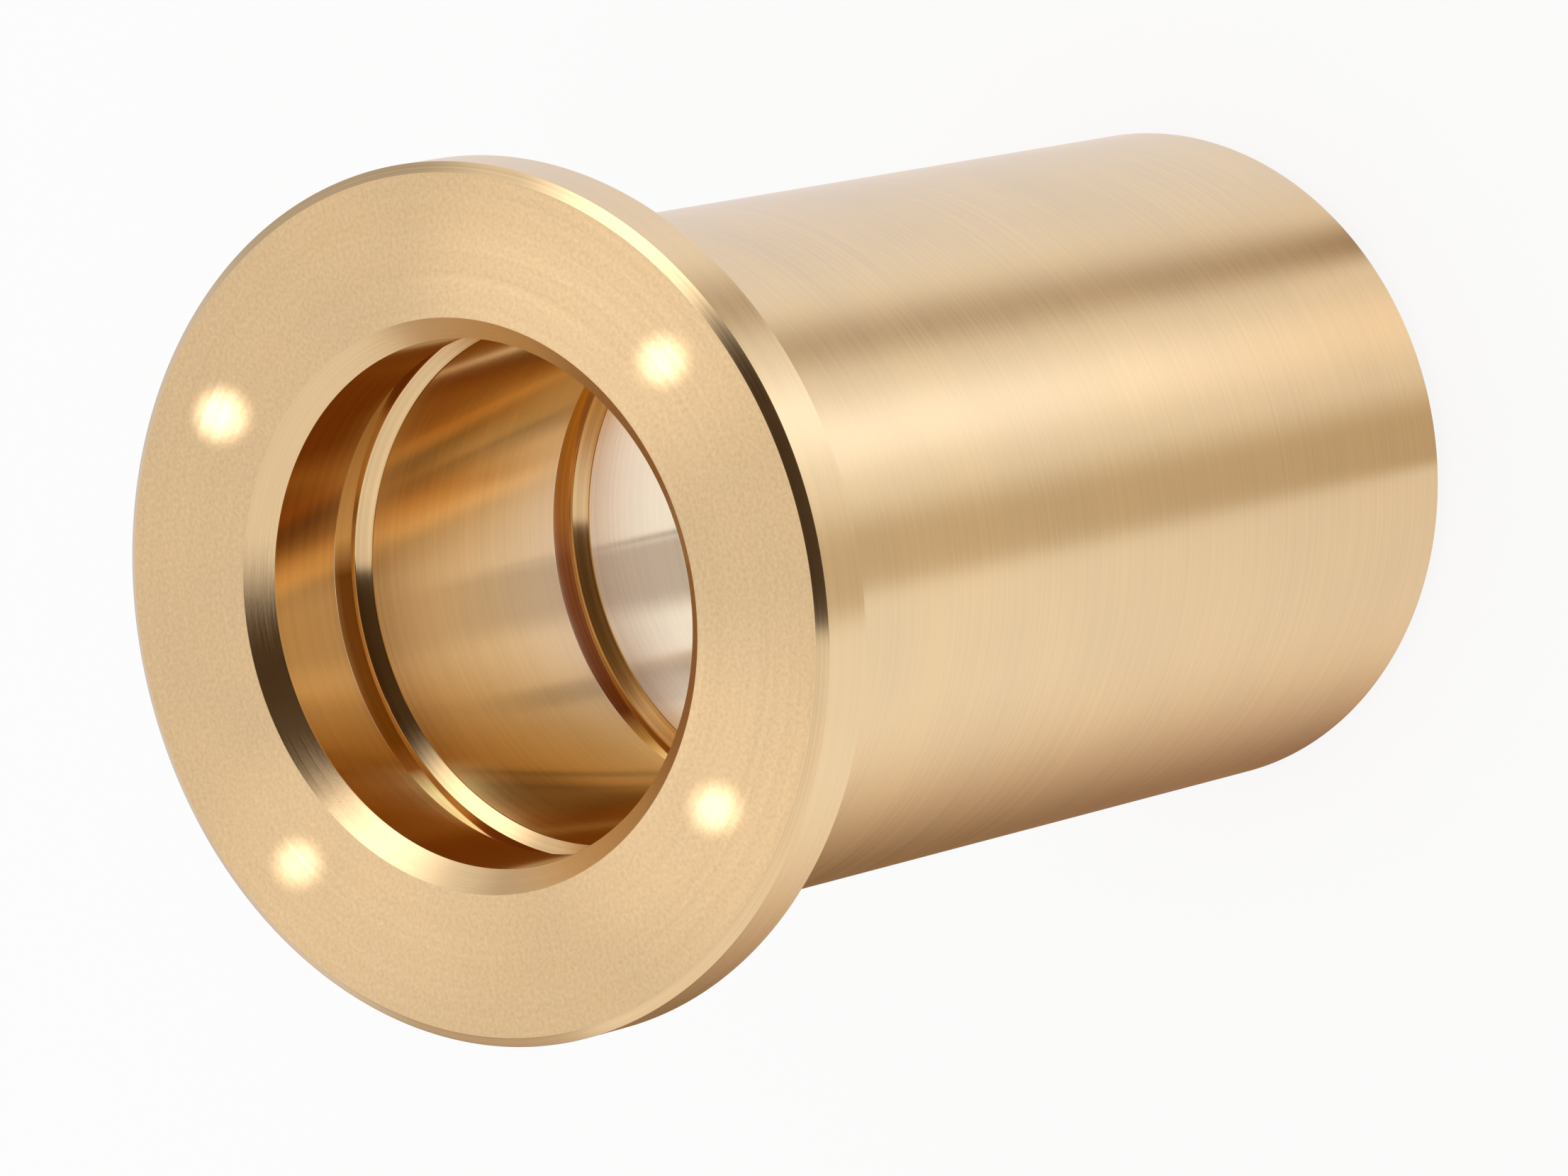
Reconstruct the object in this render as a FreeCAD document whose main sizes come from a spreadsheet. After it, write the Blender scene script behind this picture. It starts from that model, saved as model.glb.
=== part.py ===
import FreeCAD, Part
import os
import Sketcher

# Flanged plain bushing, turned from one bar of bronze.
# The frame: the axis of the bushing is Z, the foot of the sleeve stands on Z = 0,
# and the thrust face of the flange looks up at Z = overall_length.
# All sizes are millimetres.

NODE = "flanged_bushing"
FULL_TURN = 360
CUT_TOLERANCE = 1e-6

# Driving sizes: alias, value, meaning
SIZES = [
    ("bore_diameter", 30.0, "bore that runs on the shaft"),
    ("wall_thickness", 5.0, "wall of the sleeve, so the sleeve is 40 across and fits its housing"),
    ("flange_overhang", 5.0, "how far the flange stands out past the sleeve, so its rim is 50 across"),
    ("flange_thickness", 4.0, "thrust face to the shoulder"),
    ("overall_length", 70.0, "foot to thrust face"),
    ("rim_chamfer_width", 0.6, "front rim chamfer, measured across the face"),
    ("rim_chamfer_depth", 0.45, "front rim chamfer, measured down the rim"),
    ("rim_back_break", 0.2, "broken edge at the back of the rim"),
    ("mouth_chamfer_width", 1.3, "bore mouth chamfer, measured across the face"),
    ("mouth_chamfer_depth", 1.25, "bore mouth chamfer, measured into the bore"),
    ("lead_chamfer", 1.5, "45 degree lead-in at the foot of the sleeve"),
    ("foot_bore_chamfer", 0.8, "45 degree chamfer of the bore at the foot"),
    ("root_fillet", 0.4, "tool radius between sleeve and shoulder"),
    ("groove_mouth_width", 3.4, "grease groove, width at the bore"),
    ("groove_floor_width", 2.1, "grease groove, width of its flat floor"),
    ("groove_depth", 0.8, "grease groove, depth below the bore"),
    ("groove_tool_overrun", 1.0, "how far the groove tool stands back inside the bore"),
    ("first_groove_distance", 8.3, "thrust face to the middle of the first groove"),
    ("groove_pitch", 20.2, "middle of one groove to the middle of the next"),
    ("groove_count", 2, "number of grease grooves"),
]

doc = FreeCAD.newDocument("flanged_bushing_model")
sheet = doc.addObject("Spreadsheet::Sheet", "sizes")
for row, (alias, value, meaning) in enumerate(SIZES, start=1):
    sheet.set(f"A{row}", meaning)
    sheet.set(f"B{row}", str(value))
    sheet.setAlias(f"B{row}", alias)
doc.recompute()

body = doc.addObject("PartDesign::Body", NODE)
body.Label = NODE
body.Placement = FreeCAD.Placement()


def origin_feature(role):
    """The plane or axis of the body's own origin that has this role."""
    return next(f for f in body.Origin.OriginFeatures if f.Role == role)


def turned_section(name, corners):
    """Closed sketch of straight lines in the XZ plane.

    Each corner is (name, distance from the axis, height above the foot), both distances
    written as formulas of the sheet. A height of None lies on the foot plane itself.
    """
    sketch = body.newObject("Sketcher::SketchObject", name)
    sketch.AttachmentSupport = (origin_feature("XZ_Plane"), [""])
    sketch.MapMode = "FlatFace"
    start_values = [
        (sheet_value(radius), 0.0 if height is None else sheet_value(height))
        for _, radius, height in corners
    ]
    count = len(corners)
    for index, (radius, height) in enumerate(start_values):
        next_radius, next_height = start_values[(index + 1) % count]
        line = Part.LineSegment(
            FreeCAD.Vector(radius, height, 0),
            FreeCAD.Vector(next_radius, next_height, 0),
        )
        sketch.addGeometry(line, False)
    for index in range(count):
        sketch.addConstraint(Sketcher.Constraint("Coincident", index, 2, (index + 1) % count, 1))
    for index, (corner, radius, height) in enumerate(corners):
        bind_distance(sketch, "DistanceX", index, f"{corner}_radius", radius)
        if height is None:
            sketch.addConstraint(Sketcher.Constraint("PointOnObject", index, 1, -1))
        else:
            bind_distance(sketch, "DistanceY", index, f"{corner}_height", height)
    return sketch


def bind_distance(sketch, kind, line_index, name, formula):
    """Fix one coordinate of a line's start point and tie it to a formula of the sheet."""
    value = sheet_value(formula)
    number = sketch.addConstraint(Sketcher.Constraint(kind, -1, 1, line_index, 1, value))
    sketch.renameConstraint(number, name)
    sketch.setExpression(f"Constraints.{name}", formula)


def sheet_value(formula):
    """Present value of a formula of the sheet, used as the sketch's first guess."""
    result = sheet.evalExpression(formula)
    return float(getattr(result, "Value", result))


def turn(kind, name, sketch):
    """Full turn of a section about the bushing's axis, added or cut away."""
    feature = body.newObject(kind, name)
    feature.Profile = (sketch, [""])
    feature.ReferenceAxis = (sketch, ["V_Axis"])
    feature.Angle = FULL_TURN
    doc.recompute()
    return feature


def edges_at(shape, radius, height):
    """Names of the circular edges of this radius that lie at this height."""
    names = []
    for number, edge in enumerate(shape.Edges, start=1):
        curve = edge.Curve
        if not isinstance(curve, Part.Circle):
            continue
        same_radius = abs(curve.Radius - radius) < CUT_TOLERANCE
        same_height = abs(curve.Center.z - height) < CUT_TOLERANCE
        if same_radius and same_height:
            names.append(f"Edge{number}")
    return names


# Heights and radii that more than one corner shares
BORE = "sizes.bore_diameter / 2"
SLEEVE = f"{BORE} + sizes.wall_thickness"
RIM = f"{SLEEVE} + sizes.flange_overhang"
FACE = "sizes.overall_length"
SHOULDER = f"{FACE} - sizes.flange_thickness"

# The turned ring: sleeve, flange, bore and all edge chamfers in one half section.
ring_section = turned_section(
    "ring_section",
    [
        ("foot_inside", f"{BORE} + sizes.foot_bore_chamfer", None),
        ("foot_outside", f"{SLEEVE} - sizes.lead_chamfer", None),
        ("lead_end", SLEEVE, "sizes.lead_chamfer"),
        ("sleeve_root", SLEEVE, SHOULDER),
        ("rim_back_inside", f"{RIM} - sizes.rim_back_break", SHOULDER),
        ("rim_back", RIM, f"{SHOULDER} + sizes.rim_back_break"),
        ("rim_front", RIM, f"{FACE} - sizes.rim_chamfer_depth"),
        ("face_outside", f"{RIM} - sizes.rim_chamfer_width", FACE),
        ("face_inside", f"{BORE} + sizes.mouth_chamfer_width", FACE),
        ("mouth_end", BORE, f"{FACE} - sizes.mouth_chamfer_depth"),
        ("bore_foot", BORE, "sizes.foot_bore_chamfer"),
    ],
)
turned_ring = turn("PartDesign::Revolution", "turned_ring", ring_section)

# The tool leaves a small radius where the sleeve meets the shoulder.
root_edges = edges_at(turned_ring.Shape, sheet_value(SLEEVE), sheet_value(SHOULDER))
root_radius = body.newObject("PartDesign::Fillet", "root_radius")
root_radius.Base = (turned_ring, root_edges)
root_radius.setExpression("Radius", "sizes.root_fillet")
doc.recompute()

# Grease groove: a form tool with sloping flanks and a flat nose is fed outwards from the bore.
# Its straight back part only clears the bore, so the groove's lips are sharp circles.
GROOVE_MIDDLE = f"{FACE} - sizes.first_groove_distance"
TOOL_BACK = f"{BORE} - sizes.groove_tool_overrun"
GROOVE_FLOOR = f"{BORE} + sizes.groove_depth"
HALF_MOUTH = "sizes.groove_mouth_width / 2"
HALF_FLOOR = "sizes.groove_floor_width / 2"
groove_section = turned_section(
    "groove_section",
    [
        ("tool_back_low", TOOL_BACK, f"{GROOVE_MIDDLE} - {HALF_MOUTH}"),
        ("lip_low", BORE, f"{GROOVE_MIDDLE} - {HALF_MOUTH}"),
        ("floor_low", GROOVE_FLOOR, f"{GROOVE_MIDDLE} - {HALF_FLOOR}"),
        ("floor_high", GROOVE_FLOOR, f"{GROOVE_MIDDLE} + {HALF_FLOOR}"),
        ("lip_high", BORE, f"{GROOVE_MIDDLE} + {HALF_MOUTH}"),
        ("tool_back_high", TOOL_BACK, f"{GROOVE_MIDDLE} + {HALF_MOUTH}"),
    ],
)
grease_groove = turn("PartDesign::Groove", "grease_groove", groove_section)

# The same tool is moved down the bore by one pitch for each further groove.
groove_row = body.newObject("PartDesign::LinearPattern", "groove_row")
groove_row.Originals = [grease_groove]
groove_row.Direction = (origin_feature("Z_Axis"), [""])
groove_row.Reversed = True
groove_row.Mode = "Spacing"
groove_row.setExpression("Offset", "sizes.groove_pitch")
groove_row.setExpression("Occurrences", "sizes.groove_count")
body.Tip = groove_row
doc.recompute()

# Nothing is written from a model that failed anywhere.
for item in doc.Objects:
    if "Invalid" in item.State or "Error" in item.State:
        raise RuntimeError(f"{item.Name} failed: {item.State}")

one_cut = root_radius.Shape.Volume - grease_groove.Shape.Volume
all_cuts = root_radius.Shape.Volume - groove_row.Shape.Volume
grooves_cut = all_cuts / one_cut
if one_cut <= 0 or abs(grooves_cut - sheet_value("sizes.groove_count")) > CUT_TOLERANCE:
    raise RuntimeError(f"the grease grooves are not all cut: {grooves_cut}")

shape = body.Shape
if shape.isNull() or not shape.isValid() or len(shape.Solids) != 1:
    raise RuntimeError(f"{NODE} is not one valid solid")

os.makedirs("parts", exist_ok=True)
shape.exportStep(f"parts/{NODE}.step")
box = shape.BoundBox
print(f"{NODE}: {box.XLength:.3f} x {box.YLength:.3f} x {box.ZLength:.3f} mm")
print(f"volume {shape.Volume:.1f} mm3, {grooves_cut:.3f} grooves of {one_cut:.1f} mm3")
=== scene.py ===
# %% [markdown]
# # A flanged bearing bushing in turned bronze
# The object is one ring of bearing bronze, turned on a lathe: a long sleeve that is pressed into a
# housing, a thin flange that takes the thrust, and a polished bore with two grease grooves.
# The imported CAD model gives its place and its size. This file gives it the finish of the real
# ring: a fine mesh with softly broken edges, one metal with a different tool mark on each
# surface, and the bright tent of a product photographer around it.

# %% The frame
import math

import bpy
import numpy as np
from mathutils import Matrix, Vector


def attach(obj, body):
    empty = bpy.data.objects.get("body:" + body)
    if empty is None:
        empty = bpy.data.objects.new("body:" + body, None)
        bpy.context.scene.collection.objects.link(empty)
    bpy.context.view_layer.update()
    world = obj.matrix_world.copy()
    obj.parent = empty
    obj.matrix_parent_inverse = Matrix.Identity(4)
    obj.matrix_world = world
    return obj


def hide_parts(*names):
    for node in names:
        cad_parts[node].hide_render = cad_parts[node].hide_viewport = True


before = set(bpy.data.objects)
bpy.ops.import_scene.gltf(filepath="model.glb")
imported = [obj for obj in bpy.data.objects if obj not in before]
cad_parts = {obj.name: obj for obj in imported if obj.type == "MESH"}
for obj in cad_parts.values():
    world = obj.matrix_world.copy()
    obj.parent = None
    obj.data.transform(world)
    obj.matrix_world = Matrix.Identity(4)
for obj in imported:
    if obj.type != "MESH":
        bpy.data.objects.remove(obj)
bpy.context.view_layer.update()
MM = 0.001
LENGTH = 70.0                    # millimetres from the foot to the thrust face


# %% [markdown]
# ## Two small helpers
# Colours are written as sRGB hex values, the way a colour picker shows them, and Blender works in
# linear light, so one function turns one into the other. A second one adds a shader node with its
# settings and its links, which keeps every material below a short list of what it is made of.

# %% Colours and nodes
def linear(hex_colour):
    """sRGB to linear: each channel c becomes c / 12.92 up to 0.04045, and above that
    ((c + 0.055) / 1.055) to the power 2.4."""
    srgb = np.array([int(hex_colour[i:i + 2], 16) for i in (1, 3, 5)]) / 255
    low = srgb / 12.92
    high = ((srgb + 0.055) / 1.055) ** 2.4
    return (*np.where(srgb <= 0.04045, low, high).tolist(), 1.0)


def node(tree, kind, values=None, links=None, **settings):
    """Adds one node: settings are its own properties, values go on its sockets, and links say
    which output feeds which socket."""
    made = tree.nodes.new(kind)
    for name, value in settings.items():
        setattr(made, name, value)
    for socket, value in (values or {}).items():
        made.inputs[socket].default_value = value
    for socket, source in (links or {}).items():
        tree.links.new(source, made.inputs[socket])
    return made


# %% [markdown]
# ## The camera
# The photograph was taken with a long lens, which makes the far end of the sleeve look almost as
# large as the near one. Its camera was worked out from the circles of the flange and the bore and
# from the straight outline of the sleeve. It looks down on the standing bushing and is turned on
# its side, so in the picture the sleeve lies to the right. The values are the solved ones: how far
# the view looks down, how far it is rolled, and where the centre of the thrust face is as the
# camera sees it.

# %% Camera
LOOK_DOWN = math.radians(51.944)
ROLL = math.radians(-102.511)
FACE_CENTRE = np.array([0.0, 0.0, LENGTH]) * MM
FACE_FROM_CAMERA = np.array([-17.767, -1.082, 532.51]) * MM      # right, up and forward
LENS = 218.76                    # millimetres, as is the sensor's width
SENSOR = 36.0
NEAR_CLIP, FAR_CLIP = 0.01, 20.0  # metres

forward = np.array([0.0, math.cos(LOOK_DOWN), -math.sin(LOOK_DOWN)])
level_up = np.array([0.0, math.sin(LOOK_DOWN), math.cos(LOOK_DOWN)])
level_right = np.array([1.0, 0.0, 0.0])
right = math.cos(ROLL) * level_right + math.sin(ROLL) * level_up
up = -math.sin(ROLL) * level_right + math.cos(ROLL) * level_up
camera_place = FACE_CENTRE - FACE_FROM_CAMERA @ np.stack([right, up, forward])

camera_data = bpy.data.cameras.new("camera")
camera_data.sensor_fit = "HORIZONTAL"
camera_data.sensor_width = SENSOR
camera_data.lens = LENS
camera_data.clip_start = NEAR_CLIP
camera_data.clip_end = FAR_CLIP
camera = bpy.data.objects.new("camera", camera_data)
matrix = np.eye(4)
matrix[:3] = np.stack([right, up, -forward, camera_place], axis=1)
camera.matrix_world = Matrix(matrix.tolist())
bpy.context.collection.objects.link(camera)
bpy.context.scene.camera = camera
bpy.context.scene.view_settings.view_transform = "Standard"
print("camera stands at", camera_place.round(4), "m")


# %% [markdown]
# ## The half section
# A turned part is drawn by its half section: radius outward, height along the axis. On the real
# ring no edge is perfectly sharp. A tool or a scraper leaves each one a few hundredths of a
# millimetre round, and that narrow round catches the light as a thin line. A Bevel modifier could
# add it, but here every corner of the section is rounded by its own radius, because the corners
# differ: the root under the flange has a real fillet and the edges of a groove are almost sharp.

# %% Sizes of the ring, in millimetres
# Radii of the bore, the sleeve and the flange, and the height of the flange's back.
BORE = 15.0
SLEEVE = 20.0
RIM = 25.0
FLANGE_THICKNESS = 4.0
SHOULDER = LENGTH - FLANGE_THICKNESS

# Chamfers, across the radius and along the axis. Those with one size are at 45 degrees.
MOUTH_WIDTH, MOUTH_DEPTH = 1.3, 1.25
RIM_WIDTH, RIM_DEPTH = 0.6, 0.45
RIM_BACK = 0.2
LEAD_IN = 1.5
FOOT_MOUTH = 0.8

GROOVE_DEPTH = 0.8
GROOVE_MOUTH = 3.4
GROOVE_FLOOR = 2.1
FIRST_GROOVE = 8.3
GROOVE_PITCH = 20.2
GROOVES = (LENGTH - (FIRST_GROOVE + GROOVE_PITCH), LENGTH - FIRST_GROOVE)

# Radii of the rounded corners: a broken edge, a groove's lip, the nose of its tool, the root.
EDGE = 0.05
LIP = 0.12
TOOL_NOSE = 0.15
ROOT = 0.4


def groove_corners(centre):
    """Four corners of one ring groove, from its lower edge up: radius, height, round, finish."""
    floor = BORE + GROOVE_DEPTH
    return [(BORE, centre - GROOVE_MOUTH / 2, LIP, "groove"),
            (floor, centre - GROOVE_FLOOR / 2, TOOL_NOSE, "floor"),
            (floor, centre + GROOVE_FLOOR / 2, TOOL_NOSE, "groove"),
            (BORE, centre + GROOVE_MOUTH / 2, LIP, "bore")]


# Radius, height, round of the corner, and the finish of the run that starts there.
corners = [(BORE + MOUTH_WIDTH, LENGTH, EDGE, "face"),
           (RIM - RIM_WIDTH, LENGTH, EDGE, "chamfer"),
           (RIM, LENGTH - RIM_DEPTH, EDGE, "sleeve"),
           (RIM, SHOULDER + RIM_BACK, EDGE, "chamfer"),
           (RIM - RIM_BACK, SHOULDER, EDGE, "face"),
           (SLEEVE, SHOULDER, ROOT, "sleeve"),
           (SLEEVE, LEAD_IN, EDGE, "chamfer"),
           (SLEEVE - LEAD_IN, 0.0, EDGE, "face"),
           (BORE + FOOT_MOUTH, 0.0, EDGE, "chamfer"),
           (BORE, FOOT_MOUTH, EDGE, "bore"),
           *groove_corners(GROOVES[0]),
           *groove_corners(GROOVES[1]),
           (BORE, LENGTH - MOUTH_DEPTH, EDGE, "chamfer")]
print("corners of the half section:", len(corners))


# %% The rounded section
ARC_STEPS = 4
LONGEST_RUN = 4.0                # millimetres without a point between


def rounded_section(corners):
    """Points, outward normals and finishes round a closed section. Each corner becomes an arc that
    is tangent to both its runs: it starts one radius times the tangent of half the turn before
    the corner, its centre is one radius away from the run, and its normal turns evenly from that
    of the run before to that of the run after. Long runs get points between."""
    spots = np.array([corner[:2] for corner in corners])
    runs = np.roll(spots, -1, axis=0) - spots
    runs /= np.linalg.norm(runs, axis=1)[:, None]
    normals = np.stack([-runs[:, 1], runs[:, 0]], axis=1)
    points, outward, finishes = [], [], []
    for k, (_, _, radius, finish) in enumerate(corners):
        before, after = runs[k - 1], runs[k]
        turn = math.atan2(before[0] * after[1] - before[1] * after[0], before @ after)
        side = -math.copysign(1.0, turn)
        start = spots[k] - before * radius * math.tan(abs(turn) / 2)
        centre = start - side * radius * normals[k - 1]
        angle = math.atan2(*normals[k - 1][::-1]) + turn * np.linspace(0, 1, ARC_STEPS + 1)
        arc = np.stack([np.cos(angle), np.sin(angle)], axis=1)
        if points:
            gap = centre + side * radius * arc[0] - points[-1][-1]
            count = int(np.linalg.norm(gap) // LONGEST_RUN)
            share = np.arange(1, count + 1)[:, None] / (count + 1)
            points.append(points[-1][-1] + share * gap)
            outward.append(np.repeat(arc[:1], count, axis=0))
            finishes += [corners[k - 1][3]] * count
        points.append(centre + side * radius * arc)
        outward.append(arc)
        finishes += [finish] * (ARC_STEPS + 1)
    return np.concatenate(points), np.concatenate(outward), finishes


section, section_normals, section_finishes = rounded_section(corners)
print("section:", len(section), "points round", len(corners), "corners")


# %% [markdown]
# ## The mesh
# The ring is that section carried once round the axis. Blender's Spin or Screw could do it, but a
# grid of two parameters gives more: the same two numbers that place a point, the way round and the
# way along the section, also tell the materials where the tool travelled. They are kept in two
# forms. The attribute lathe wraps the way round into a circle, so a pattern on it has no seam, and
# the UV map tool_path gives the shader the direction across the tool marks.

# %% Section carried round the axis
SEGMENTS = 400
FINISHES = ("face", "chamfer", "sleeve", "bore", "groove", "floor")
UV_SPAN = 100.0                  # millimetres of section that make one unit of the UV map


def turned_ring(name, section, normals, finishes):
    """A point of the surface is radius * cos(way), radius * sin(way), height: the section's
    radius and height, and the way round the axis from nought to a full turn."""
    rows = len(section)
    way = np.arange(SEGMENTS) * 2 * np.pi / SEGMENTS
    ring = np.stack([np.cos(way), np.sin(way)], axis=1)
    radius, height = section.T
    flat = ring[:, None, :] * radius[None, :, None]
    points = np.concatenate([flat, np.broadcast_to(height[:, None], (SEGMENTS, rows, 1))], axis=2)
    tilt = ring[:, None, :] * normals[None, :, :1]
    shade = np.concatenate([tilt, np.broadcast_to(normals[:, 1:], (SEGMENTS, rows, 1))], axis=2)

    step = np.linalg.norm(np.roll(section, -1, axis=0) - section, axis=1)
    along = np.concatenate([[0.0], np.cumsum(step)])
    lathe = np.concatenate([np.broadcast_to(ring[:, None, :] * SLEEVE, (SEGMENTS, rows, 2)),
                            np.broadcast_to(along[:-1, None], (SEGMENTS, rows, 1))], axis=2)

    i, j = np.meshgrid(np.arange(SEGMENTS), np.arange(rows), indexing="ij")
    next_i, next_j = (i + 1) % SEGMENTS, (j + 1) % rows
    quads = np.stack([i * rows + j, i * rows + next_j, next_i * rows + next_j, next_i * rows + j],
                     axis=-1).reshape(-1, 4)
    around = np.stack([i, i, i + 1, i + 1], axis=-1) / SEGMENTS
    across = np.stack([along[j], along[j + 1], along[j + 1], along[j]], axis=-1) / UV_SPAN

    mesh = bpy.data.meshes.new(name)
    mesh.from_pydata((points.reshape(-1, 3) * MM).tolist(), [], quads.tolist())
    mesh.polygons.foreach_set("use_smooth", np.ones(len(quads), dtype=bool))
    slots = np.array([FINISHES.index(finish) for finish in finishes], dtype=np.int32)
    mesh.polygons.foreach_set("material_index", np.tile(slots, SEGMENTS))
    mesh.attributes.new("lathe", "FLOAT_VECTOR", "POINT").data.foreach_set(
        "vector", lathe.astype(np.float32).ravel())
    uv = np.stack([across.reshape(-1), around.reshape(-1)], axis=-1)
    mesh.uv_layers.new(name="tool_path").uv.foreach_set("vector", uv.astype(np.float32).ravel())
    mesh.normals_split_custom_set_from_vertices(shade.reshape(-1, 3).tolist())
    return mesh


ring_mesh = turned_ring("turned_bushing", section, section_normals, section_finishes)
bushing = bpy.data.objects.new("turned_bushing", ring_mesh)
bpy.context.collection.objects.link(bushing)
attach(bushing, "root")
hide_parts("flanged_bushing")
print("ring:", len(ring_mesh.vertices), "points,", 2 * len(ring_mesh.polygons), "triangles")


# %% [markdown]
# ## The metal
# Bearing bronze is copper with about a tenth of tin: a warm pale gold when it is freshly cut. It
# is one metal all over, and what differs is the mark of the tool. One function makes the metal
# and takes what each surface adds: how far apart the tool marks are, how deep they are, how
# rough the metal is between them, and how much further light spreads across the marks than
# along them.

# %% Bronze
# freshly cut, where the tool rubbed, and polished, which deepens the metal's own colour
BRONZE = linear("#EACCA2")
BRONZE_DULL = linear("#E0BE8F")
BRONZE_DEEP = linear("#E7C899")

MARKS_ROUND = 0.02               # waves of the tool marks in a millimetre round the axis
CLOUDS = 0.12                    # waves of the mottle in a millimetre
MOTTLE = 0.03                    # how much lighter and darker the mottle makes the metal
ROUGH_SWING = 0.15               # how much rougher and smoother it is from mark to mark
GRAIN_HEIGHT = 0.04              # height of a grain as a share of its width
# noise from nought to one is dark at the low value and light at the high one
CLOUD_LOW, CLOUD_HIGH = 0.35, 0.65
FLECK_LOW, FLECK_HIGH = 0.3, 0.7


def turned_bronze(name, roughness, spread, mark_pitch, mark_height, contrast, grain=0.0,
                  bright=BRONZE):
    """Principled metal. Marks are noise that is stretched round the lathe's axis, one wave for
    each pitch along the section. Grain is even noise, as on a surface that was blasted or
    lapped. Pitch, height and grain are in millimetres, contrast is how much lighter and darker
    the metal gets with them."""
    material = bpy.data.materials.new(name)
    material.use_nodes = True
    tree = material.node_tree
    shader = tree.nodes["Principled BSDF"]
    place = node(tree, "ShaderNodeAttribute", attribute_name="lathe").outputs["Vector"]
    along = node(tree, "ShaderNodeMapping", {"Scale": (MARKS_ROUND, MARKS_ROUND, 1 / mark_pitch)},
                 {"Vector": place}).outputs["Vector"]
    marks = node(tree, "ShaderNodeTexNoise", {"Scale": 1.0, "Detail": 3.0, "Roughness": 0.6},
                 {"Vector": along}).outputs["Fac"]
    cloud = node(tree, "ShaderNodeTexNoise", {"Scale": CLOUDS, "Detail": 2.0},
                 {"Vector": place}).outputs["Fac"]

    # dull is the mean of both noises, and sockets 6 and 7 of a colour mix are its two colours
    dull = node(tree, "ShaderNodeMath", {1: 0.5}, {0: cloud}, operation="MULTIPLY").outputs[0]
    dull = node(tree, "ShaderNodeMath", {1: 0.5}, {0: marks, 2: dull}, operation="MULTIPLY_ADD",
                use_clamp=True).outputs[0]
    colour = node(tree, "ShaderNodeMix", {6: bright, 7: BRONZE_DULL}, {0: dull},
                  data_type="RGBA").outputs[2]
    rough = node(tree, "ShaderNodeMapRange", {"To Min": roughness * (1 - ROUGH_SWING),
                                              "To Max": roughness * (1 + ROUGH_SWING)},
                 {"Value": marks}).outputs["Result"]
    bump = node(tree, "ShaderNodeBump", {"Strength": 1.0, "Distance": mark_height * MM},
                {"Height": marks}).outputs["Normal"]
    fleck = marks
    if grain:
        sand = node(tree, "ShaderNodeTexNoise", {"Scale": 1 / (grain * MM), "Detail": 2.0},
                    {"Vector": node(tree, "ShaderNodeTexCoord").outputs["Object"]}).outputs["Fac"]
        bump = node(tree, "ShaderNodeBump",
                    {"Strength": 1.0, "Distance": grain * GRAIN_HEIGHT * MM},
                    {"Height": sand, "Normal": bump}).outputs["Normal"]
        fleck = sand

    shade = node(tree, "ShaderNodeMapRange",
                 {"From Min": FLECK_LOW, "From Max": FLECK_HIGH,
                  "To Min": 1 - contrast, "To Max": 1 + contrast},
                 {"Value": fleck}).outputs["Result"]
    mottle = node(tree, "ShaderNodeMapRange",
                  {"From Min": CLOUD_LOW, "From Max": CLOUD_HIGH,
                   "To Min": 1 - MOTTLE, "To Max": 1 + MOTTLE},
                  {"Value": cloud}).outputs["Result"]
    shade = node(tree, "ShaderNodeMath", links={0: shade, 1: mottle},
                 operation="MULTIPLY").outputs[0]
    colour = node(tree, "ShaderNodeVectorMath", links={0: colour, "Scale": shade},
                  operation="SCALE").outputs[0]
    across = node(tree, "ShaderNodeTangent", direction_type="UV_MAP",
                  uv_map="tool_path").outputs["Tangent"]
    shader.inputs["Metallic"].default_value = 1.0
    shader.inputs["Anisotropic"].default_value = spread
    for socket, source in (("Base Color", colour), ("Roughness", rough), ("Normal", bump),
                           ("Tangent", across)):
        tree.links.new(source, shader.inputs[socket])
    return material


# %% [markdown]
# ## The six finishes
# Each surface of the real ring was made by its own cut. The marks of a fine feed are about a tenth
# of a millimetre apart, too fine to show here, so they are drawn two to three times as coarse.

# %% Finishes
# roughness, spread, pitch and height of the marks, contrast
materials = {
    # faced and stoned flat: satin, with a fine even grain that blurs every reflection
    "face": turned_bronze("faced_bronze", 0.42, 0.2, 0.3, 0.0004, 0.07, grain=0.25),
    # cut last with a sharp tool: bright, with clear rings, so a dark panel shows as a dark arc
    "chamfer": turned_bronze("bright_turned_bronze", 0.17, 0.9, 0.2, 0.002, 0.13),
    # turned with a fine feed: the light draws out into bands along the sleeve
    "sleeve": turned_bronze("fine_turned_bronze", 0.25, 0.85, 0.24, 0.0006, 0.05),
    # honed for the shaft: nearly a mirror, deep in colour
    "bore": turned_bronze("honed_bronze", 0.12, 0.85, 0.3, 0.0003, 0.05, bright=BRONZE_DEEP),
    # the slopes of a groove, scraped by the sides of a form tool: bright, a little less clear
    "groove": turned_bronze("grooved_bronze", 0.16, 0.85, 0.25, 0.0012, 0.12, bright=BRONZE_DULL),
    # the floor of a groove, cut by the tool's flat nose: broad smooth marks that mirror sharply
    "floor": turned_bronze("coarse_turned_bronze", 0.05, 0.3, 0.3, 0.0001, 0.12,
                           bright=BRONZE_DEEP),
}
for finish in FINISHES:
    ring_mesh.materials.append(materials[finish])
print("finishes:", ", ".join(material.name for material in ring_mesh.materials))


# %% [markdown]
# ## The floor
# A plain white floor. A product photograph on pure white keeps only a breath of shadow, so for
# the camera most of the floor's light is its own and only a small part is light that fell on it.
# It shows from above only, so the foot of the ring can be looked at from below.

# %% Floor
FLOOR_HALF = 3.0                 # metres
# below the foot by less than shows, so the two faces don't flicker through each other
FLOOR_HEIGHT = -0.05 * MM
FLOOR_WHITE = linear("#FDFDFD")
OWN_LIGHT = 0.85


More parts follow.
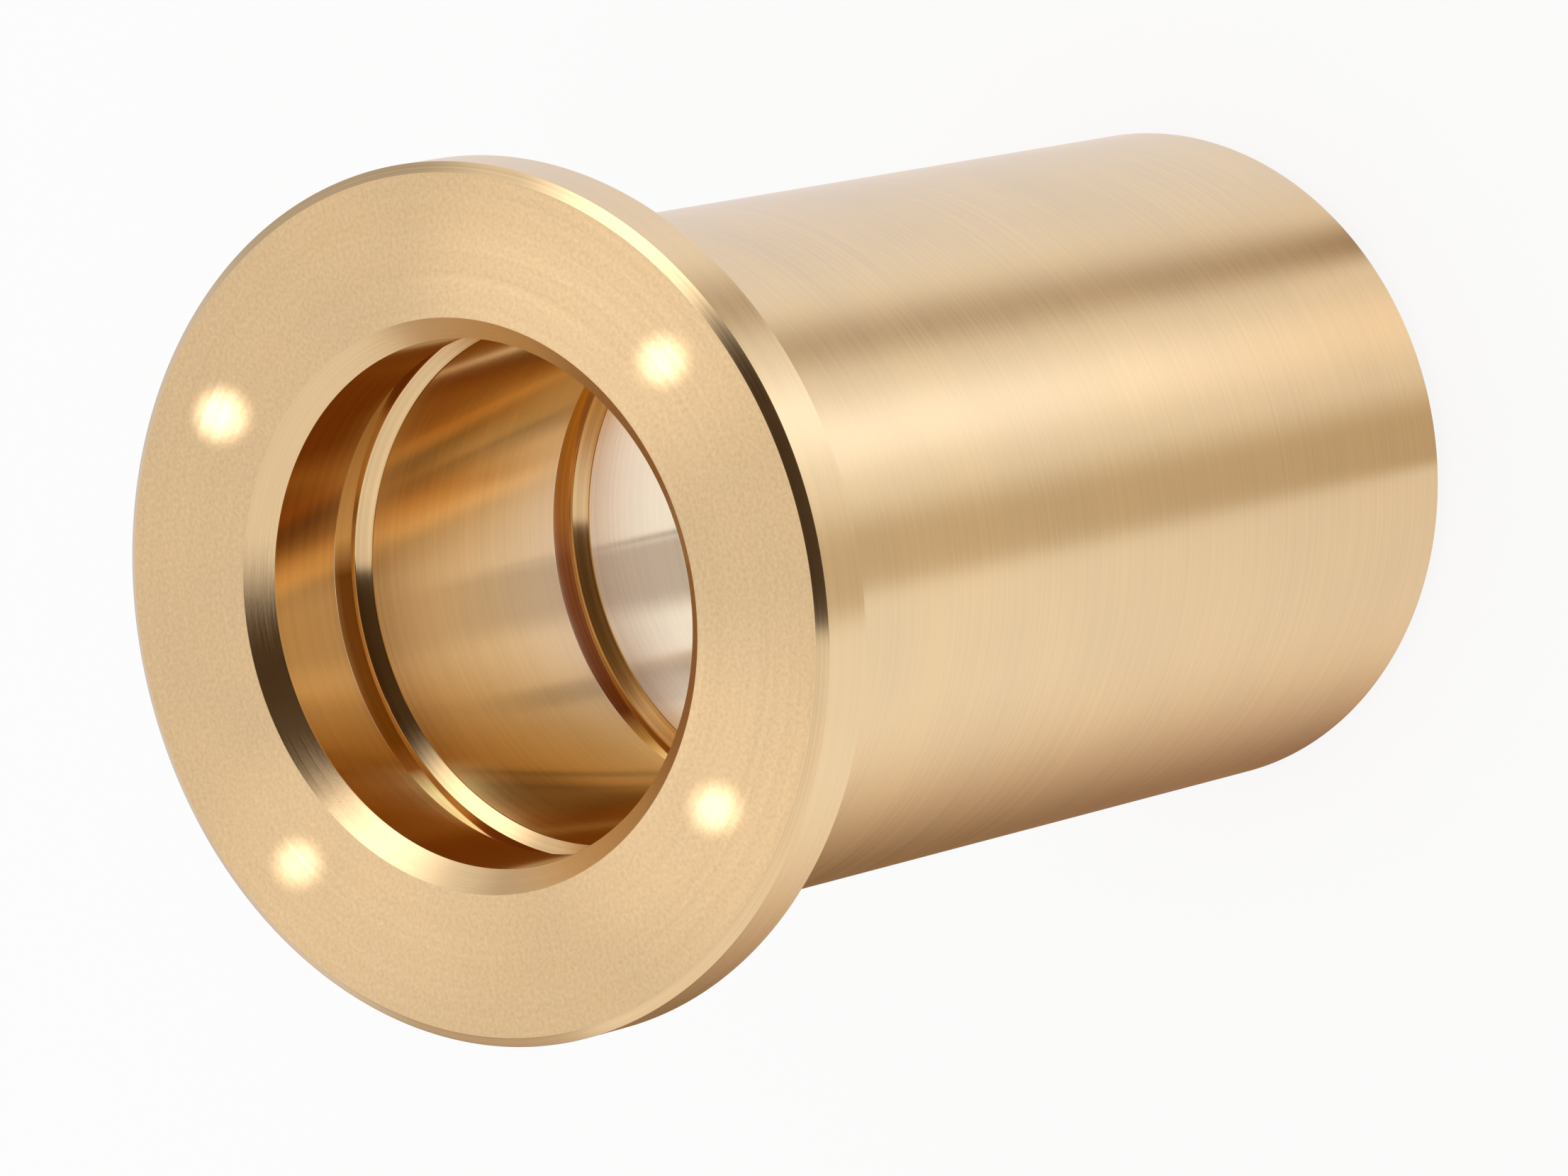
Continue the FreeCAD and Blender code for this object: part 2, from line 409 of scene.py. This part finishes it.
def front_only(tree, shader):
    """Ends a material: it shows the shader on the side that the faces look to, and from behind
    it is clear."""
    behind = node(tree, "ShaderNodeNewGeometry").outputs["Backfacing"]
    clear = node(tree, "ShaderNodeBsdfTransparent").outputs["BSDF"]
    mixed = node(tree, "ShaderNodeMixShader", links={0: behind, 1: shader, 2: clear})
    node(tree, "ShaderNodeOutputMaterial", links={"Surface": mixed.outputs[0]})


floor_mesh = bpy.data.meshes.new("floor")
floor_mesh.from_pydata([(x * FLOOR_HALF, y * FLOOR_HALF, FLOOR_HEIGHT)
                        for x, y in ((-1, -1), (1, -1), (1, 1), (-1, 1))], [], [(0, 1, 2, 3)])
floor = bpy.data.objects.new("floor", floor_mesh)
bpy.context.collection.objects.link(floor)

paper = bpy.data.materials.new("white_paper")
paper.use_nodes = True
tree = paper.node_tree
tree.nodes.clear()
ray = node(tree, "ShaderNodeLightPath")
share = node(tree, "ShaderNodeMath", {1: OWN_LIGHT}, {0: ray.outputs["Is Camera Ray"]},
             operation="MULTIPLY")
lit = node(tree, "ShaderNodeBsdfDiffuse", {"Color": FLOOR_WHITE})
own = node(tree, "ShaderNodeEmission", {"Color": FLOOR_WHITE, "Strength": 1.0})
mixed = node(tree, "ShaderNodeMixShader", links={0: share.outputs[0], 1: lit.outputs[0],
                                                 2: own.outputs[0]})
front_only(tree, mixed.outputs[0])
floor_mesh.materials.append(paper)
floor.visible_glossy = False
print("floor:", 2 * FLOOR_HALF, "m wide, for the camera", OWN_LIGHT, "of its light is its own")


# %% [markdown]
# ## The room
# White walls all round. They give the soft, even light that fills the shadows, and the white
# behind the ring.

# %% World
world = bpy.data.worlds.new("studio")
world.use_nodes = True
background = world.node_tree.nodes["Background"]
background.inputs["Color"].default_value = linear("#FFFFFF")
background.inputs["Strength"].default_value = 1.0
bpy.context.scene.world = world
print("world:", world.name)


# %% [markdown]
# ## The light tent
# Polished metal has no look of its own: it shows what stands around it. The photographer had the
# bushing in a white tent with a few panels, and the photograph shows them as bands along the
# sleeve, as the black arc on the chamfers and as the stripes in the bore. Here the tent is one
# sphere that only mirror rays see, and its brightness is a function of the direction: white,
# with soft-edged panels laid over it.

# %% Panels
TENT_WHITE = 0.95

# name, azimuth from and to, elevation from and to, softness of the four edges, all in degrees,
# and the light's level, in linear red, green and blue
PANELS = (
    ("table", -10, 370, -90, -30, (1, 1, 1, 10), (1.15, 1.4, 1.95)),
    ("low_grey", 258, 288, -90, -30, (3, 14, 1, 10), (0.66, 0.72, 0.95)),
    ("low_line_left", 255, 257, -90, -30, (2, 2, 1, 10), (0.45, 0.45, 0.55)),
    ("low_grey_right", 311, 332, -90, -30, (3, 6, 1, 10), (0.62, 0.56, 0.56)),
    ("low_line_right", 318, 321, -90, -30, (2, 3, 1, 10), (0.4, 0.37, 0.35)),
    ("low_back", 50, 90, -90, -20, (8, 2, 1, 8), (0.2, 0.1, 0.05)),
    ("behind", 35, 145, -40, -4, (20, 20, 10, 8), (0.78, 0.79, 0.84)),
    ("above", 50, 130, 34, 72, (30, 30, 16, 16), (0.87, 0.86, 0.85)),
    ("side_right", 27, 66, -6, 32, (14, 14, 8, 8), (0.55, 0.55, 0.55)),
    ("side_left", 114, 144, -8, 16, (14, 10, 8, 14), (0.52, 0.45, 0.38)),
    ("softbox", -31, 9, 16, 62, (18, 16, 14, 10), (2.3, 2.3, 2.3)),
    ("flag", 244, 332, 14, 76, (1.5, 36, 8, 8), (0.055, 0.032, 0.014)),
    ("gap", 297.5, 299.5, 14, 43, (1, 1, 8, 3), (0.42, 0.34, 0.24)),
)


def smooth(edge, softness, value):
    """Rises from nought to one over the softness, centred on the edge: with a share that grows
    evenly from nought to one, it is 3 * share squared - 2 * share cubed, so its ends are level."""
    share = np.clip((value - edge) / softness + 0.5, 0, 1)
    return share * share * (3 - 2 * share)


def tent_light(azimuth, elevation):
    """White, and over it each panel in turn, weighted by four soft edges multiplied together.
    Azimuths are measured from the middle of the panel, so no panel is cut at 180 degrees."""
    light = np.full((*azimuth.shape, 3), TENT_WHITE)
    for _, left, far, low, high, soft, level in PANELS:
        middle = (left + far) / 2
        turned = (azimuth - middle + 180) % 360 - 180
        weight = (smooth(left - middle, soft[0], turned) * smooth(middle - far, soft[1], -turned)
                  * smooth(low, soft[2], elevation) * smooth(-high, soft[3], -elevation))
        light += weight[..., None] * (np.array(level) - light)
    return light


print("panels:", ", ".join(panel[0] for panel in PANELS))


# %% [markdown]
# ## Sheets of painted reflection
# The tent, the cards and the film below are glowing sheets that only mirror rays see. What the
# metal mirrors is painted on them as their light. An area lamp has one brightness all over, so
# here each sheet is a grid whose points carry their own light, and it glows on the side its faces
# look to.

# %% Tent
TENT_RADIUS = 2.0                # metres
TENT_STEP = 1.0                  # degrees from one point of the grid to the next

painted_glow = bpy.data.materials.new("painted_reflection_glow")
painted_glow.use_nodes = True
tree = painted_glow.node_tree
tree.nodes.clear()
glow = node(tree, "ShaderNodeEmission", {"Strength": 1.0},
            {"Color": node(tree, "ShaderNodeAttribute", attribute_name="light").outputs["Color"]})
front_only(tree, glow.outputs[0])
painted_glow.cycles.emission_sampling = "NONE"


def lit_grid(name, points, light):
    """A sheet through a grid of points that glows by its own light, point by point. Only mirror
    rays see it, so it shows in the metal and throws no light on anything."""
    rows, columns = points.shape[:2]
    i, j = np.meshgrid(np.arange(rows - 1), np.arange(columns - 1), indexing="ij")
    quads = np.stack([i * columns + j, i * columns + j + 1, (i + 1) * columns + j + 1,
                      (i + 1) * columns + j], axis=-1).reshape(-1, 4)
    mesh = bpy.data.meshes.new(name)
    mesh.from_pydata(points.reshape(-1, 3).tolist(), [], quads.tolist())
    colour = np.concatenate([light, np.ones((rows, columns, 1))], axis=-1)
    mesh.attributes.new("light", "FLOAT_COLOR", "POINT").data.foreach_set(
        "color", colour.astype(np.float32).ravel())
    mesh.materials.append(painted_glow)
    sheet = bpy.data.objects.new(name, mesh)
    bpy.context.collection.objects.link(sheet)
    for kind in ("camera", "diffuse", "transmission", "volume_scatter", "shadow"):
        setattr(sheet, "visible_" + kind, False)
    print(name, "gives light from", light.min().round(3), "to", light.max().round(3))


azimuth, elevation = np.meshgrid(np.arange(0, 360 + TENT_STEP / 2, TENT_STEP),
                                 np.arange(-90, 90 + TENT_STEP / 2, TENT_STEP), indexing="ij")
a, e = np.radians(azimuth), np.radians(elevation)
tent_points = TENT_RADIUS * np.stack([np.cos(a) * np.cos(e), np.sin(a) * np.cos(e), np.sin(e)],
                                     axis=-1)
lit_grid("light_tent", tent_points, tent_light(azimuth, elevation))


# %% [markdown]
# ## Cards on the table, painted as light
# The sleeve is seen from above, so it mirrors the table round its foot. Each line along the sleeve
# mirrors one straight line of the table that runs out from the foot. The cards are laid along
# these lines: a surface whose two parameters are the place round the sleeve and the way out.
# The table's light and the ring's own shadow on it are painted into the cards as their glow.

# %% Table cards
CARD_REACH = 150.0               # millimetres from the foot
CARD_NEAR, CARD_FAR = 5.0, 45.0  # between these the near level turns into the far one
CARD_STEP = 1.0                  # degrees
CARD_POINTS = 25
# name, place round the sleeve from and to in degrees, softness of both edges, level near the
# foot and level far out
CARDS = (
    ("white", -200, 20, (1, 1), (0.96, 0.95, 0.95), (1.08, 1.12, 1.16)),
    # tan and brown are painted shadow: the table in the ring's own shadow, warmed by the bronze,
    # as the sleeve's underside mirrors it; brown is its core and tan its soft edge
    ("tan", -195, -136, (6, 30), (0.9, 0.77, 0.64), (0.86, 0.68, 0.5)),
    ("brown", -195, -149, (6, 34), (0.3, 0.17, 0.1), (0.17, 0.08, 0.02)),
    ("grey", -101.5, -89, (3, 9), (0.64, 0.56, 0.44), (0.7, 0.64, 0.53)),
    ("strip", -81, -71, (9, 8), (1.15, 1.1, 1.05), (1.5, 1.65, 1.9)),
    ("shade", -63, -55.5, (6, 8), (0.46, 0.38, 0.3), (0.46, 0.39, 0.3)),
    ("cool", -48, 5, (12, 10), (0.94, 0.99, 1.1), (0.93, 0.98, 1.12)),
)

place_round, way_out = np.meshgrid(np.arange(-180, CARD_STEP / 2, CARD_STEP),
                                   np.linspace(0, CARD_REACH, CARD_POINTS), indexing="ij")
turn = np.radians(place_round)
table_points = np.stack([SLEEVE * np.cos(turn) - way_out * np.sin(2 * turn),
                         SLEEVE * np.sin(turn) + way_out * np.cos(2 * turn),
                         np.zeros_like(turn)], axis=-1) * MM
level = np.zeros((*place_round.shape, 3))
far_share = np.clip((way_out - CARD_NEAR) / (CARD_FAR - CARD_NEAR), 0, 1)[..., None]
for _, start, end, soft, near, far in CARDS:
    weight = smooth(start, soft[0], place_round) * smooth(-end, soft[1], -place_round)
    card = near + far_share * (np.array(far) - near)
    level += weight[..., None] * (card - level)
lit_grid("table_cards", table_points, level)


# %% [markdown]
# ## Inside the bore
# The camera looks far down the bore, and there its wall mirrors the opposite wall, which mirrors
# the first one again. Every further reflection takes the bronze's own colour once more, so the
# wall turns from pale at the foot to deep amber near the mouth. A sleeve of tinted film stands
# for that chain: where it is n reflections away from the daylight at the foot, its light is the
# bronze's colour to the power n. It glows on its inner side only, so a ray that leaves the wall
# behind it passes through. The camera sees only the far half of the wall, and what a spot there
# mirrors, so many degrees off the middle, lies three times as many degrees round the film.

# %% The chain of reflections
DAYLIGHT = np.array([1.22, 1.39, 2.0])
# what one reflection in the streaky wall leaves of the light
FILM_BRONZE = np.array([0.706, 0.545, 0.32])
# height above the foot in millimetres, reflections away from the daylight
CHAIN = ((0, 0.0), (5, 0.12), (12, 0.85), (18, 1.2), (26, 1.65), (40, 2.4), (66, 3.0))
MOST_REFLECTIONS = 5.7
# what the groove slopes and the mouth chamfer mirror, above all that the wall itself mirrors
UPPER_REFLECTIONS = 2.4
UPPER_SOFTNESS = 4.0
# degrees off the middle to either side, height in millimetres above which that begins
UPPER_START = ((0, 43), (34, 47), (42, 70), (49, 66), (56, 57), (60, 55))
# degrees off the middle of the far wall, further reflections for each span above the start
SIDE_START = 9.0
SIDE_SPAN = 10.0
SIDE_CHAIN = ((-60, 1.3), (-52, 0.9), (-44, 1.05), (-36, 0.55), (-28, 1.5), (-18, 0.4), (-10, 0.0),
              (10, 0.0), (20, 0.3), (30, 0.65), (40, 0.75), (52, 0.55), (60, 1.0))


def chain_length(off_middle, height):
    """Reflections from the daylight to a point of the film: read from the table by height, plus
    the side's share for each span above the start, up to the most there are, and from the upper
    zone on the few that its slopes need."""
    above = np.maximum(height - SIDE_START, 0) / SIDE_SPAN
    length = np.interp(height, *zip(*CHAIN)) + np.interp(off_middle, *zip(*SIDE_CHAIN)) * above
    length = np.minimum(length, MOST_REFLECTIONS)
    upper = smooth(np.interp(np.abs(off_middle), *zip(*UPPER_START)), UPPER_SOFTNESS, height)
    return length + upper * (UPPER_REFLECTIONS - length)


print("reflections in the middle, 30 mm up:", chain_length(0.0, 30.0).round(2))


# %% [markdown]
# ## Streaks and rings
# A honing stone leaves fine marks down the bore, and what the wall mirrors breaks up into streaks
# along them. Dark lines painted on the wall would stay put when the eye moves, as a mirror image
# doesn't, so the streaks are bands of the film. Each is a soft-edged factor on its light.

# %% Streaks and rings
# Streaks along the honing marks, painted on the film as light and shade: name, place on the wall
# from and to in degrees off its middle, softness of both edges, heights from and to on the film,
# whether the streak fans out, level
STREAKS = (
    ("line_left", -7.4, -6.4, (1.0, 1.6), -5, 14, 0, 0.72),
    ("grey", -6, 7, (1.5, 7), -5, 17, 0, 0.72),
    ("line_right", 21, 26, (2, 2), -5, 18, 0, 0.66),
    ("edge_right", 26, 32, (2, 2), -5, 7, 0, 0.72),
    ("gold_left", -20, -13, (4, 3), 10, 40, 1, 1.6),
    ("dark_left", -32, -26, (3, 3), 25, 50, 1, 0.5),
    ("thin_left", -24, -22.5, (1.5, 1.5), 16, 50, 1, 0.72),
    ("brown_left", -12, -9, (2, 5), 20, 50, 1, 0.86),
    ("pale_left", -39, -34, (2, 2), 24, 46, 1, 1.35),
    ("gold_edge", -44, -37, (5, 5), 20, 50, 1, 1.2),
    # shade_right, dusk_left and dusk_right are painted shade on the sides of the wall
    ("shade_right", 40, 60, (8, 1), 27, 37, 0, 0.5),
    ("dusk_left", -42, -26, (8, 8), 10, 20, 0, 0.7),
    ("dusk_right", 24, 46, (8, 8), 8, 20, 0, 0.85),
    ("gold_middle", 6, 14, (6, 4), 22, 50, 1, 1.2),
    ("thin_right", 33, 35, (2, 2), 14, 42, 1, 0.5),
    ("thin_far_right", 41, 42.5, (1.5, 1.5), 18, 44, 1, 0.55),
    ("gold_right", 44, 58, (6, 6), 42, 56, 1, 1.5),
)
STREAK_SOFTNESS = (5, 8)         # millimetres, at the streak's lower and upper end
# a streak that fans out is wider below this height and narrower above it, by this share for each
# millimetre, within these limits
FAN_HEIGHT, FAN_RATE, FAN_LIMITS = 32.0, 0.048, (0.7, 2.0)

# The floor of a groove mostly shows its own slopes, and a ring on the film stands for them: height
# of the middle of the floor as the camera sees it, how much lower the film is that it mirrors in
# the middle of the wall, and the ring's tint at so many degrees off that middle
GROOVE_RINGS = (
    (61.6, 36.3, ((-60, (0.26, 0.12, 0.02)), (-40, (0.45, 0.25, 0.09)), (-20, (0.65, 0.42, 0.2)),
                  (-12, (0.17, 0.06, 0.005)), (25, (0.17, 0.06, 0.005)), (32, (0.3, 0.12, 0.03)),
                  (40, (1.15, 1.2, 0.9)), (52, (1.35, 1.15, 0.75)), (60, (0.8, 0.5, 0.25)))),
    (41.4, 38.0, ((-60, (0.42, 0.18, 0.02)), (-15, (0.36, 0.14, 0.01)), (-5, (0.2, 0.06, 0.002)),
                  (30, (0.13, 0.03, 0.002)), (38, (0.5, 0.3, 0.1)), (45, (1.1, 0.9, 0.5)),
                  (60, (0.5, 0.3, 0.1)))),
)
# degrees off the middle, half the height of the ring's mirror image in millimetres
RING_HALF = ((-60, 1.8), (30, 1.8), (44, 1.1), (60, 1.1))
RING_SOFTNESS = 1.0
print(len(STREAKS), "streaks and", len(GROOVE_RINGS), "rings")


# %% [markdown]
# ## The film
# A grid again, one parameter round the bore and one up it. The first is counted in degrees off
# the middle of the far wall, so the tables above can be read straight from it.

# %% Film in the bore
FILM_GAP = 0.04                  # millimetres between the wall and the film
FILM_TOP = 68.6
FILM_HALF = 60.0                 # degrees off the middle of the wall, to either side
FILM_STEP = 0.5
FILM_ROWS = 140
MIRRORED = 3                     # degrees round the film for each degree off the middle
FACES_CAMERA = 270.0             # azimuth of the side that the camera looks from

off_middle, share = np.meshgrid(np.arange(-FILM_HALF, FILM_HALF + FILM_STEP / 2, FILM_STEP),
                                np.linspace(0, 1, FILM_ROWS), indexing="ij")
film_angle = np.radians(FACES_CAMERA + MIRRORED * off_middle)
height = share * FILM_TOP
film_radius = BORE - FILM_GAP
film_points = np.stack([film_radius * np.cos(film_angle), film_radius * np.sin(film_angle),
                        height], axis=-1) * MM
level = DAYLIGHT * FILM_BRONZE ** chain_length(off_middle, height)[..., None]
for _, start, end, soft, low, high, fan, light_level in STREAKS:
    spot = off_middle / np.clip(1 + fan * FAN_RATE * (FAN_HEIGHT - height), *FAN_LIMITS)
    weight = (smooth(start, soft[0], spot) * smooth(-end, soft[1], -spot)
              * smooth(low, STREAK_SOFTNESS[0], height)
              * smooth(-high, STREAK_SOFTNESS[1], -height))
    level *= (1 + weight * (light_level - 1))[..., None]
for groove_height, drop, tints in GROOVE_RINGS:
    ring_height = groove_height - drop * np.cos(np.radians(off_middle))
    ring_half = np.interp(off_middle, *zip(*RING_HALF))
    weight = smooth(-ring_half, RING_SOFTNESS, -np.abs(height - ring_height))[..., None]
    places, colours = zip(*tints)
    tint = np.stack([np.interp(off_middle, places, c) for c in zip(*colours)], axis=-1)
    level += weight * (tint - level)
lit_grid("bore_film", film_points, level)


# %% [markdown]
# ## Small lamps
# Four round glows lie on the thrust face. Each is the highlight of one small lamp above the ring,
# narrowed to a cone that lights a few millimetres of the face and fades out towards its edge. It
# stands where the camera's line of sight leaves the face after it is mirrored. Three wide, faint
# lamps make the soft clouds of light between them.

# %% Lamps
LAMP_DISTANCE = 180.0 * MM
LAMP_RADIUS = 0.6 * MM
sight = FACE_CENTRE - camera_place
TO_LAMP = sight / np.linalg.norm(sight) * (1, 1, -1)
# name, place on the face in millimetres, cone in degrees, power in watts
LAMPS = (
    ("far_right", 13.7, 14.6, 1.1, 0.25),
    ("near_right", 10.8, -17.5, 0.62, 0.2),
    ("far_left", -12.1, 16.3, 1.0, 0.16),
    ("near_left", -13.8, -14.3, 0.85, 0.19),
    ("haze_right", 14.5, -13.5, 8.0, 0.026),
    ("haze_left", -13.0, -14.5, 8.0, 0.021),
    ("haze_far", -14.0, 13.0, 7.0, 0.014),
)

for name, x, y, cone, power in LAMPS:
    lamp_data = bpy.data.lights.new("lamp_" + name, "SPOT")
    lamp_data.energy = power
    lamp_data.spot_size = math.radians(cone)
    lamp_data.spot_blend = 1.0
    lamp_data.shadow_soft_size = LAMP_RADIUS
    lamp = bpy.data.objects.new("lamp_" + name, lamp_data)
    lamp.location = np.array([x, y, LENGTH]) * MM + LAMP_DISTANCE * TO_LAMP
    lamp.rotation_euler = Vector(-TO_LAMP).to_track_quat("-Z", "Y").to_euler()
    bpy.context.collection.objects.link(lamp)
print(len(LAMPS), "lamps at", LAMP_DISTANCE, "m from the face")
